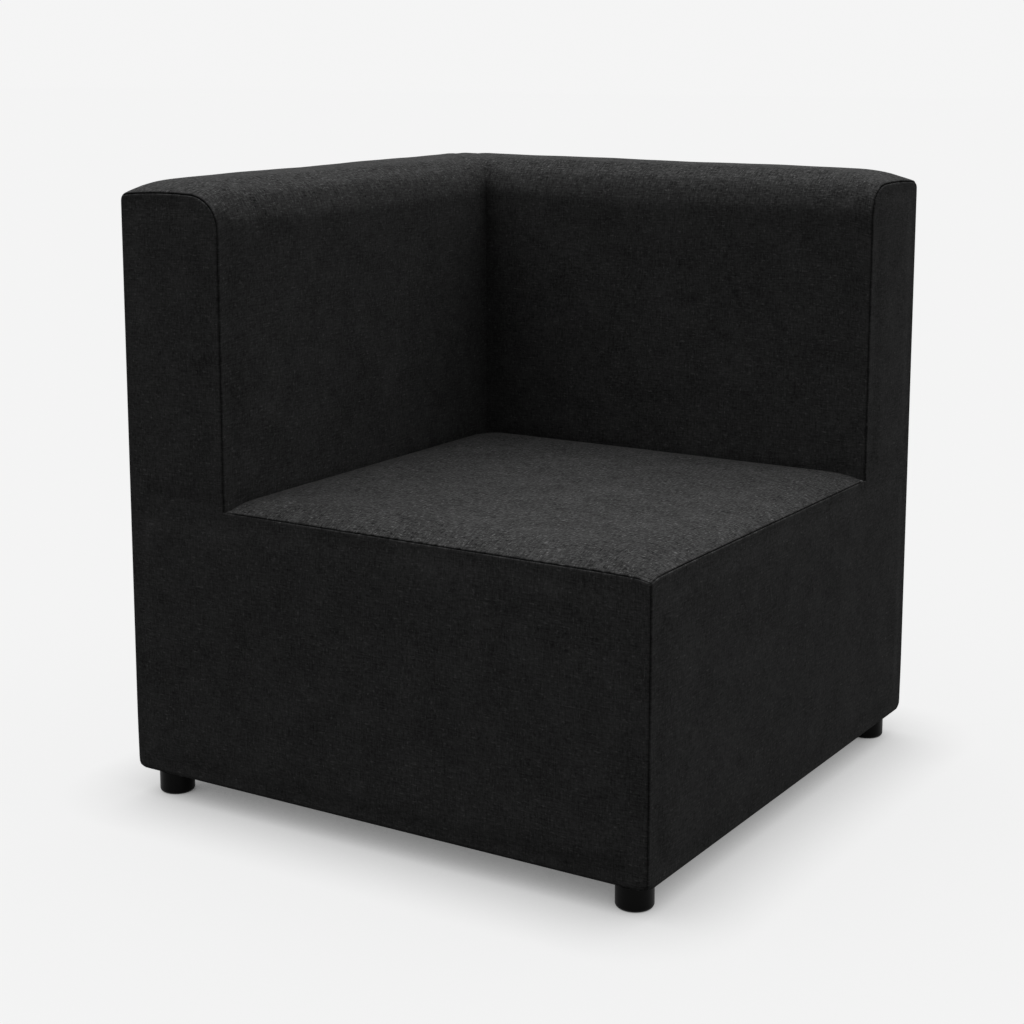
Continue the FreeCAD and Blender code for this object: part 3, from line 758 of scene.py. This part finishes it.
def dust_cover(material):
    """The sheet under the base, slightly slack between the boards, with round openings at the studs."""
    edge = HALF - COVER_INSET
    places = []
    for corner in ("front_left", "front_right", "back_left", "back_right"):
        low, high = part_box("foot_" + corner)
        places.append(((low[0] + high[0]) / 2, (low[1] + high[1]) / 2, (high[0] - low[0]) / 2))
    rail_low, rail_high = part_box("base_cross_rail")
    line = np.linspace(-edge, edge, 131)
    x, y = np.meshgrid(line, line)
    slack = np.zeros_like(x)
    board = HALF - LAYER - BOARD
    for low, high in ((-board, rail_low[0]), (rail_high[0], board)):
        across = clipped((x - low) / (high - low))
        along = clipped((y + board) / (2 * board))
        slack += np.sin(math.pi * across) * np.sin(math.pi * along) ** 0.5
    slack += 0.10 * np.sin(31 * x + 17 * y) * slack
    for px, py, radius in places:
        near = np.hypot(x - px, y - py)
        slack *= clipped((near - radius - 0.004) / 0.06)
    z = UNDERSIDE + SHEET - SLACK * slack
    upper = joined(x, y, z).reshape(-1, 3)
    lower = upper - [0, 0, SHEET]
    index = np.arange(x.size).reshape(x.shape)
    quads = np.stack([index[:-1, :-1], index[:-1, 1:], index[1:, 1:], index[1:, :-1]], -1).reshape(-1, 4)
    for px, py, _ in places:
        middle = upper[quads].mean(1)
        quads = quads[np.hypot(middle[:, 0] - px, middle[:, 1] - py) >= STUD_OPENING]
    quads = quads.tolist()
    edges = dict.fromkeys((a, b) for quad in quads for a, b in zip(quad, quad[1:] + quad[:1]))
    size = len(upper)
    faces = quads + [[q + size for q in quad[::-1]] for quad in quads]
    faces += [[b, a, a + size, b + size] for a, b in edges if (b, a) not in edges]
    mesh = bpy.data.meshes.new("dust_cover_sheet")
    mesh.from_pydata(np.concatenate([upper, lower]).tolist(), [], faces)
    mesh.materials.append(material)
    bm = bmesh.new()
    bm.from_mesh(mesh)
    bmesh.ops.delete(bm, geom=[v for v in bm.verts if not v.link_faces], context="VERTS")
    bmesh.ops.recalc_face_normals(bm, faces=bm.faces)
    for f in bm.faces:
        f.smooth = abs(f.normal.z) > 0.5
    bm.to_mesh(mesh)
    bm.free()
    return link_object("dust_cover_sheet", mesh), places


def add_staple(bm, x, y, tilt):
    """One staple: a short wire with its ends bent up into the board."""
    cos, sin = math.cos(tilt), math.sin(tilt)
    rings = []
    for t in np.linspace(-1, 1, 9):
        bend = max(0.0, abs(t) - 0.8) / 0.2
        ring = []
        for angle in np.linspace(0, 2 * math.pi, 9)[:-1]:
            along, across = STAPLE_HALF_LENGTH * t, STAPLE_WIRE[0] * math.cos(angle)
            z = UNDERSIDE + STAPLE_WIRE[1] * (math.sin(angle) - 1) + STAPLE_BEND * bend ** 2
            ring.append(bm.verts.new((x + along * cos - across * sin, y + along * sin + across * cos, z)))
        rings.append(ring)
    for first, second in zip(rings, rings[1:]):
        for k in range(8):
            bm.faces.new((first[k], first[(k + 1) % 8], second[(k + 1) % 8], second[k]))
    bm.faces.new(rings[0][::-1])
    bm.faces.new(rings[-1])


def staples(places, material):
    """Wire staples along the dust cover's edges, lying flat on its underside."""
    inset = HALF - COVER_INSET - STAPLE_INSET
    bm = bmesh.new()
    for number in range(STAPLES):
        along = -inset + 2 * inset * (number + 0.5) / STAPLES
        for side in (-1, 1):
            for turned in (False, True):
                x, y = (side * inset, along) if turned else (along, side * inset)
                if all(math.hypot(x - px, y - py) >= radius + STAPLE_ROOM for px, py, radius in places):
                    tilt = 0.12 * math.sin(37 * x + 23 * y + 5 * turned) + turned * math.pi / 2
                    add_staple(bm, x, y, tilt)
    bmesh.ops.recalc_face_normals(bm, faces=bm.faces)
    for f in bm.faces:
        f.smooth = len(f.verts) == 4
    mesh = bpy.data.meshes.new("dust_cover_staples")
    bm.to_mesh(mesh)
    bm.free()
    mesh.materials.append(material)
    return link_object("dust_cover_staples", mesh)


def felt_pad(material):
    """The felt over the springs, with soft rounded edges and a slightly uneven upper and lower face."""
    low, high = (np.array(corner, float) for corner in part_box("seat_insulator"))
    middle = (low + high) / 2
    half = (high - low) / 2 - [0.0004, 0.0004, 0.0]
    piece = Cover()
    shares = graded(1.0, 0.004, 0.004, 0.02)
    x_line, y_line = np.outer(half[:2] - half[2], 2 * shares - 1)
    x, y = np.meshgrid(x_line, y_line)
    dimple = 0.0003 * (np.sin(61 * x + 23 * y) * np.sin(47 * y - 19 * x) - 1)
    sheets = [piece.add(joined(x, y, side * (half[2] + dimple)), joined(x, y)) for side in (-1, 1)]
    for sheet in sheets:
        piece.strip(sheet)
    loops = [np.concatenate([s[0, :-1], s[:-1, -1], s[-1, :0:-1], s[:0:-1, 0]]) for s in sheets]
    base = np.concatenate(piece.points)[loops[0]]
    at_edge = np.abs(base) >= [x_line[-1] - 1e-9, y_line[-1] - 1e-9, math.inf]
    out = unit(np.sign(base) * at_edge)
    rings = [loops[0]]
    for angle in np.linspace(-math.pi / 2, math.pi / 2, 7)[1:-1]:
        ring = base + out * half[2] * math.cos(angle)
        ring[:, 2] = half[2] * math.sin(angle) * 0.9
        rings.append(piece.add(ring, base[:, :2]))
    piece.close(rings + [loops[1]])
    return make_object("seat_insulator_felt", piece, lambda p: p + middle, material)


# Materials

# The cloth's grey, and how strongly its yarns, grain, clouds and light flecks differ from it
CHARCOAL = 0.0535
YARN = 0.23
GRAIN = 0.32
CLOUD = 0.26
FLECK = 0.95
UP_CONTRAST = 1.95  # painted light: how much stronger they are on faces that look up
PAINTED_SEAM_SHADE = 0.4  # painted shade: darkening of the cloth's colour inside a seam, where the groove lies in shade
WEAVE_PITCH = 0.0013  # two threads of the weave


def new_material(name):
    material = bpy.data.materials.new(name)
    material.use_nodes = True
    tree = material.node_tree
    return material, tree, tree.nodes["Principled BSDF"]


class Nodes:
    """Short calls for building a node tree."""

    def __init__(self, tree):
        self.tree = tree

    def add(self, kind, inputs=None, **settings):
        node = self.tree.nodes.new("ShaderNode" + kind)
        for key, value in settings.items():
            setattr(node, key, value)
        for key, value in (inputs or {}).items():
            if isinstance(value, bpy.types.NodeSocket):
                self.tree.links.new(value, node.inputs[key])
            else:
                node.inputs[key].default_value = value
        return node

    def math(self, operation, a, b=0.0, c=None):
        inputs = {0: a, 1: b}
        if c is not None:
            inputs[2] = c
        return self.add("Math", inputs, operation=operation).outputs[0]

    def times(self, a, b):
        return self.math("MULTIPLY", a, b)

    def plus(self, a, b):
        return self.math("ADD", a, b)

    def noise(self, vector, scale, detail=2.0, roughness=0.5):
        inputs = {"Vector": vector, "Scale": scale, "Detail": detail, "Roughness": roughness}
        return self.add("TexNoise", inputs).outputs[0]

    def stretched(self, vector, x, y, z=1.0):
        return self.add("Mapping", {"Vector": vector, "Scale": (x, y, z)}).outputs[0]

    def ramp(self, value, low, high, to_low=0.0, to_high=1.0):
        return self.add("MapRange", {0: value, 1: low, 2: high, 3: to_low, 4: to_high}).outputs[0]

    def seen(self):
        """1 for rays from the camera, from a reflection or through a surface, and 0 for the light's."""
        rays = self.add("LightPath").outputs
        indirect = self.math("MAXIMUM", rays["Is Glossy Ray"], rays["Is Transmission Ray"])
        return self.math("MAXIMUM", rays["Is Camera Ray"], indirect)


def fabric_material():
    """Matte charcoal plain weave with mixed light and dark yarns. Its coordinates are metres on the cloth."""
    material, tree, shader = new_material("charcoal_weave")
    n = Nodes(tree)
    cloth = n.add("UVMap", uv_map="cloth").outputs[0]
    place = n.add("TexCoord").outputs["Object"]

    # Scales are cells per metre, along and across the cloth
    warp = n.noise(n.stretched(cloth, 620, 60), 1.0, 1.0)
    weft = n.noise(n.stretched(cloth, 55, 590), 1.0, 1.0)
    fine = n.noise(n.stretched(cloth, 270, 250), 1.0, 2.0, 0.7)
    cloudy = n.noise(place, 18.0, 3.0, 0.9)
    fleck = n.noise(n.stretched(cloth, 330, 190), 1.0, 1.0)
    sliver = n.noise(n.stretched(cloth, 110, 330), 1.0, 1.0)

    # Painted light: the yarns, grain and light flecks stand out more on faces that look up, as if the light
    # from above brought them out, and those faces turn slightly lighter
    up = n.add("SeparateXYZ", {0: n.add("NewGeometry").outputs["Normal"]}).outputs[2]
    painted_top_light = n.ramp(up, 0.1, 0.9, 1.0, UP_CONTRAST)
    yarn = n.plus(n.ramp(warp, 0.25, 0.75, -YARN, YARN), n.ramp(weft, 0.25, 0.75, -YARN, YARN))
    grain = n.ramp(fine, 0.25, 0.75, -GRAIN, GRAIN)
    cloud = n.ramp(cloudy, 0.25, 0.75, -CLOUD, CLOUD)
    light = n.plus(n.ramp(fleck, 0.63, 0.78, 0.0, FLECK), n.ramp(sliver, 0.63, 0.78, 0.0, FLECK))
    mix = n.times(n.plus(n.plus(yarn, grain), light), painted_top_light)
    # Painted shade: the cloth's colour is darkened by the seam attribute inside the seams' grooves
    seam = n.add("Attribute", attribute_name="seam").outputs["Fac"]
    in_light = n.math("SUBTRACT", 1.0, n.times(seam, PAINTED_SEAM_SHADE))
    shade = n.times(n.plus(0.98, n.plus(mix, cloud)), in_light)
    shade = n.math("MAXIMUM", shade, 0.15)
    grey = n.times(shade, CHARCOAL)
    colour = n.add("CombineColor", {0: grey, 1: grey, 2: grey}).outputs[0]
    tree.links.new(colour, shader.inputs["Base Color"])

    tree.links.new(n.ramp(fine, 0.2, 0.8, 0.98, 0.86), shader.inputs["Roughness"])
    for name, value in (("Specular IOR Level", 0.03), ("Sheen Weight", 0.03), ("Sheen Roughness", 0.45),
                        ("Sheen Tint", (0.8, 0.8, 0.8, 1))):
        shader.inputs[name].default_value = value

    split = n.add("SeparateXYZ", {0: cloth})
    pitch = 2 * math.pi / WEAVE_PITCH
    over = n.math("SINE", n.times(split.outputs[0], pitch))
    under = n.math("SINE", n.times(split.outputs[1], pitch))
    weave = n.times(n.times(over, under), 0.35)
    height = n.plus(n.plus(weave, fine), n.times(n.plus(warp, weft), 0.5))
    bump = n.add("Bump", {"Strength": 0.05, "Distance": 0.0005, "Height": height})
    tree.links.new(bump.outputs[0], shader.inputs["Normal"])
    return material


def plain_material(name, grey, roughness, specular=0.3, scale=300.0, spread=0.15, bump=0.1, depth=0.0003,
                   tint=(1.0, 1.0, 1.0), metallic=0.0, stretch=(1.0, 1.0, 1.0)):
    """A material with fine mottling in colour, roughness and relief."""
    material, tree, shader = new_material(name)
    n = Nodes(tree)
    place = n.add("TexCoord").outputs["Object"]
    fine = n.noise(n.stretched(place, *stretch), scale, 3.0, 0.6)
    broad = n.noise(n.stretched(place, *stretch), scale / 12, 2.0)
    level = n.plus(n.ramp(fine, 0.3, 0.7, 1 - spread, 1 + spread),
                   n.ramp(broad, 0.3, 0.7, -spread / 2, spread / 2))
    channels = {i: n.times(level, grey * tint[i]) for i in range(3)}
    tree.links.new(n.add("CombineColor", channels).outputs[0], shader.inputs["Base Color"])
    tree.links.new(n.ramp(fine, 0.2, 0.8, roughness - 0.06, roughness + 0.06), shader.inputs["Roughness"])
    shader.inputs["Specular IOR Level"].default_value = specular
    shader.inputs["Metallic"].default_value = metallic
    relief = n.add("Bump", {"Strength": bump, "Distance": depth, "Height": fine})
    tree.links.new(relief.outputs[0], shader.inputs["Normal"])
    return material


fabric = fabric_material()
foot_plastic = plain_material("satin_black_plastic", 0.0028, 0.40, 0.07, scale=900, spread=0.2, bump=0.08,
                              depth=0.0001)
nonwoven = plain_material("black_nonwoven", 0.016, 0.92, 0.15, scale=520, spread=0.35, bump=0.5, depth=0.0005)
plywood = plain_material("birch_plywood", 0.42, 0.6, scale=60, spread=0.12, tint=(1.0, 0.76, 0.50),
                         stretch=(1, 1, 14))
hardboard = plain_material("brown_hardboard", 0.20, 0.7, scale=500, spread=0.2, tint=(1.0, 0.62, 0.38))
foam = plain_material("cream_foam", 0.62, 0.95, 0.1, scale=900, bump=0.6, depth=0.0008,
                      tint=(1.0, 0.93, 0.72))
felt = plain_material("grey_felt", 0.24, 0.95, 0.1, scale=700, spread=0.35, bump=0.6, depth=0.0008)
strap = plain_material("black_webbing", 0.03, 0.8, 0.2, scale=700, spread=0.3, bump=0.6, depth=0.0006,
                       stretch=(1, 1, 3))
steel = plain_material("oiled_spring_steel", 0.28, 0.34, 0.5, scale=600, spread=0.2, metallic=1.0)
zinc = plain_material("zinc_steel", 0.55, 0.32, 0.5, scale=500, metallic=1.0, tint=(0.96, 0.98, 1.0))

# Materials of the carried parts, by a piece of their names. The first that fits counts.
CARRIED = (("foot_block", plywood), ("foot_studs", zinc), ("foot_t_nuts", zinc), ("foot_", foot_plastic),
           ("frame_screws", zinc), ("spring_clips", zinc), ("seat_spring", steel), ("seat_insulator", felt),
           ("dust_cover", nonwoven), ("webbing", strap), ("outside_board", hardboard), ("foam", foam),
           ("_pad", foam), ("_cover", fabric), ("", plywood))
for node_name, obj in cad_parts.items():
    obj.data.materials.clear()
    obj.data.materials.append(next(material for part, material in CARRIED if part in node_name))

# Upholstery
wall = wall_piece()
left_wall = make_object("left_wall_upholstery", wall, left_frame, fabric)
back_wall = make_object("back_wall_upholstery", wall, back_frame, fabric, (2.37, 1.13))
panel = panel_piece()
front_panel = make_object("front_panel_upholstery", panel, left_frame, fabric, (4.61, 2.29))
right_panel = make_object("right_panel_upholstery", panel, back_frame, fabric, (6.83, 3.41))
seat = make_object("seat_upholstery", seat_piece(), lambda p: p, fabric, (9.17, 4.73))

fill_out([left_wall, back_wall, front_panel, right_panel, seat], SWELL, PRESSURE)
level_mitre([left_wall, back_wall])

cover_sheet, stud_places = dust_cover(nonwoven)
cover_staples = staples(stud_places, zinc)
insulator_felt = felt_pad(felt)
for piece_object, node, slot in ((cover_sheet, "dust_cover", "nonwoven"),
                                 (insulator_felt, "seat_insulator", "felt")):
    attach(piece_object, "root")
    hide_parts(node)
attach(cover_staples, "root")

STANDS_FOR = {
    left_wall: ("left_wall_cover", "left_wall_top_foam", "left_wall_inner_foam", "left_wall_outside_pad"),
    back_wall: ("back_wall_cover", "back_wall_top_foam", "back_wall_inner_foam", "back_wall_outside_pad"),
    front_panel: ("front_panel_cover", "base_pad_front", "left_wall_end_pad"),
    right_panel: ("right_panel_cover", "base_pad_right", "back_wall_end_pad"),
    seat: ("seat_cover", "seat_foam_topper", "seat_foam_core"),
}
for piece_object, stands_for in STANDS_FOR.items():
    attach(piece_object, "root")
    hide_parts(*stands_for)

# Floor, light and camera
FLOOR = 0.91  # grey of the floor and the backdrop
FLOOR_BOUNCE = 0.06  # grey with which the floor sends light back to the object
FLOOR_SIDE = 40
FLOOR_GLOW = 0.90  # share of the floor that glows evenly and only darkens near the object, by a painted contact shadow
CONTACT = 0.60  # how dark its painted contact shadow is
CONTACT_REACH = 0.13
corners = [(x * FLOOR_SIDE, y * FLOOR_SIDE, 0) for x, y in ((-1, -1), (1, -1), (1, 1), (-1, 1))]
floor_mesh = bpy.data.meshes.new("floor")
floor_mesh.from_pydata(corners, [], [(0, 1, 2, 3)])
floor = link_object("floor", floor_mesh)
floor_material, floor_tree, floor_shader = new_material("pale_floor")
n = Nodes(floor_tree)
grey = (FLOOR, FLOOR, FLOOR, 1)
bounce = n.add("BsdfDiffuse", {"Color": (FLOOR_BOUNCE, FLOOR_BOUNCE, FLOOR_BOUNCE, 1)})
shown = n.add("BsdfDiffuse", {"Color": grey})
# The floor's shadow is partly real, from the diffuse share, and partly painted: ambient occlusion near the
# object darkens the glow that the camera sees
near = n.add("AmbientOcclusion", {"Distance": CONTACT_REACH}, samples=16).outputs["AO"]
glow = n.add("Emission", {"Color": grey, "Strength": n.math("POWER", near, CONTACT)})
pale = n.add("MixShader", {0: FLOOR_GLOW, 1: shown.outputs[0], 2: glow.outputs[0]})
surface = n.add("MixShader", {0: n.seen(), 1: bounce.outputs[0], 2: pale.outputs[0]})
floor_tree.links.new(surface.outputs[0], floor_tree.nodes["Material Output"].inputs["Surface"])
floor_tree.nodes.remove(floor_shader)
floor_mesh.materials.append(floor_material)

# A broad soft light overhead, strongest from the back left, as lobes of (direction, sharpness, strength)
LOBES = (((0, 0, 1), 8, 0.36), ((-0.5, 0.5, 1), 6, 1.99), ((-0.5, -0.5, 1), 6, 1.08),
         ((0.5, 0.5, 1), 6, 1.18), ((1, 0, 0.25), 4, 0.085))
world = bpy.data.worlds.new("studio")
bpy.context.scene.world = world
world.use_nodes = True
tree = world.node_tree
n = Nodes(tree)
direction = n.add("TexCoord").outputs["Generated"]
light = 0.0
for towards, sharpness, strength in LOBES:
    facing = n.add("VectorMath", {0: direction, 1: tuple(Vector(towards).normalized())},
                   operation="DOT_PRODUCT").outputs["Value"]
    lobe = n.math("POWER", n.math("MAXIMUM", facing, 0.0), sharpness)
    light = n.math("MULTIPLY_ADD", lobe, strength, light)
lamp = tree.nodes["Background"]
lamp.inputs["Color"].default_value = (1, 1, 1, 1)
tree.links.new(light, lamp.inputs["Strength"])
backdrop = n.add("Background", {"Color": grey, "Strength": 1.0})
both = n.add("MixShader", {0: n.seen(), 1: lamp.outputs[0], 2: backdrop.outputs[0]})
tree.links.new(both.outputs[0], tree.nodes["World Output"].inputs["Surface"])

# The camera, placed by the object's corners in the photo
camera_data = bpy.data.cameras.new("camera")
camera = link_object("camera", camera_data)
bpy.context.scene.camera = camera
camera_data.sensor_width = 36
camera_data.lens = 70.23
camera_data.shift_y = -0.12
camera_data.clip_end = 200
camera.location = (1.4436, -2.3584, 1.0128)
pitch, yaw = math.radians(9.592), math.radians(32.172)
camera.rotation_euler = (math.pi / 2 - pitch, 0, yaw)
bpy.context.scene.view_settings.view_transform = "Standard"
